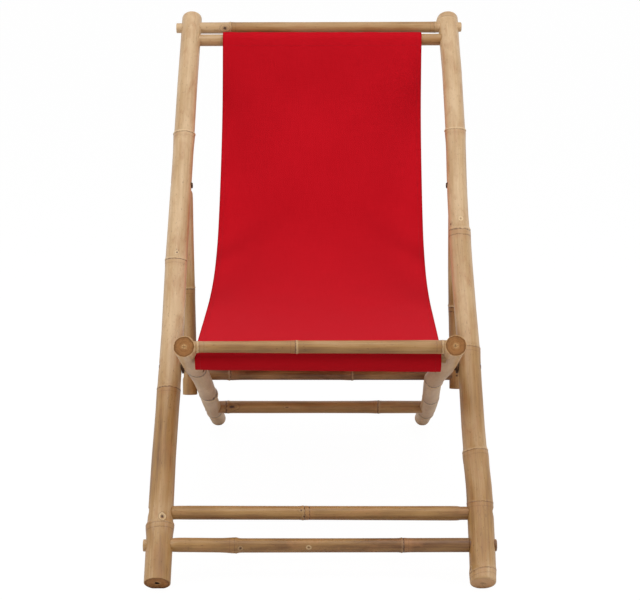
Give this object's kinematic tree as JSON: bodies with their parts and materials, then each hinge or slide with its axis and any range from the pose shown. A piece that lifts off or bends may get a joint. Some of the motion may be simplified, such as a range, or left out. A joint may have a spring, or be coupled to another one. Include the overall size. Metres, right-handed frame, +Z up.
{
  "type": "folding sling chair",
  "caption": "Bamboo folding deck chair: long back frame, seat frame bolted inside it, swinging prop frame and a canvas sling between two bars.",
  "frame": {"origin": "on the floor, on the chair's middle line, at the middle of its length", "axes": "+X to the right as seen from the front, +Y from the front feet to the back, +Z up"},
  "size_m": [0.613, 0.9974, 0.9245],
  "materials": {
    "bamboo": "sealed bamboo, tan above and browner towards the floor, satin",
    "peg": "dark bamboo peg, matte",
    "steel": "darkened steel, dull",
    "canvas": "heavy plain-weave cotton canvas, red"
  },
  "bodies": {
    "back_frame": {"left_back_pole": "bamboo", "right_back_pole": "bamboo", "top_rail": "bamboo", "top_sling_bar": "bamboo", "upper_foot_rung": "bamboo", "lower_foot_rung": "bamboo", "left_top_peg": "peg", "right_top_peg": "peg", "left_upper_rung_peg": "peg", "right_upper_rung_peg": "peg", "left_lower_rung_peg": "peg", "right_lower_rung_peg": "peg", "left_pivot_bolt": "steel", "right_pivot_bolt": "steel", "left_pivot_nut": "steel", "right_pivot_nut": "steel", "left_pivot_washer": "steel", "right_pivot_washer": "steel", "left_hinge_bolt": "steel", "right_hinge_bolt": "steel", "left_hinge_nut": "steel", "right_hinge_nut": "steel", "left_hinge_plate": "steel", "right_hinge_plate": "steel", "canvas_sling": "canvas"},
    "seat_frame": {"left_seat_pole": "bamboo", "right_seat_pole": "bamboo", "front_rail": "bamboo", "front_sling_bar": "bamboo", "rear_rung": "bamboo", "left_front_rail_peg": "peg", "right_front_rail_peg": "peg", "left_rear_rung_peg": "peg", "right_rear_rung_peg": "peg"},
    "prop_frame": {"left_prop_pole": "bamboo", "right_prop_pole": "bamboo", "prop_crossbar": "bamboo", "left_crossbar_peg": "peg", "right_crossbar_peg": "peg", "left_hinge_pin": "steel", "right_hinge_pin": "steel"}
  },
  "joints": [
    {"name": "seat_fold", "type": "hinge", "parent": "back_frame", "child": "seat_frame", "pos_m": [0, -0.1705, 0.30514], "axis": [1, 0, 0], "range_deg": [0, 52], "deforming": ["canvas_sling"]},
    {"name": "prop_swing", "type": "hinge", "parent": "back_frame", "child": "prop_frame", "pos_m": [0, 0.16563, 0.56905], "axis": [1, 0, 0], "range_deg": [0, 142]}
  ],
  "couplings": [
    {"joint": "prop_swing", "follows": "seat_fold", "ratio": 2.72}
  ]
}
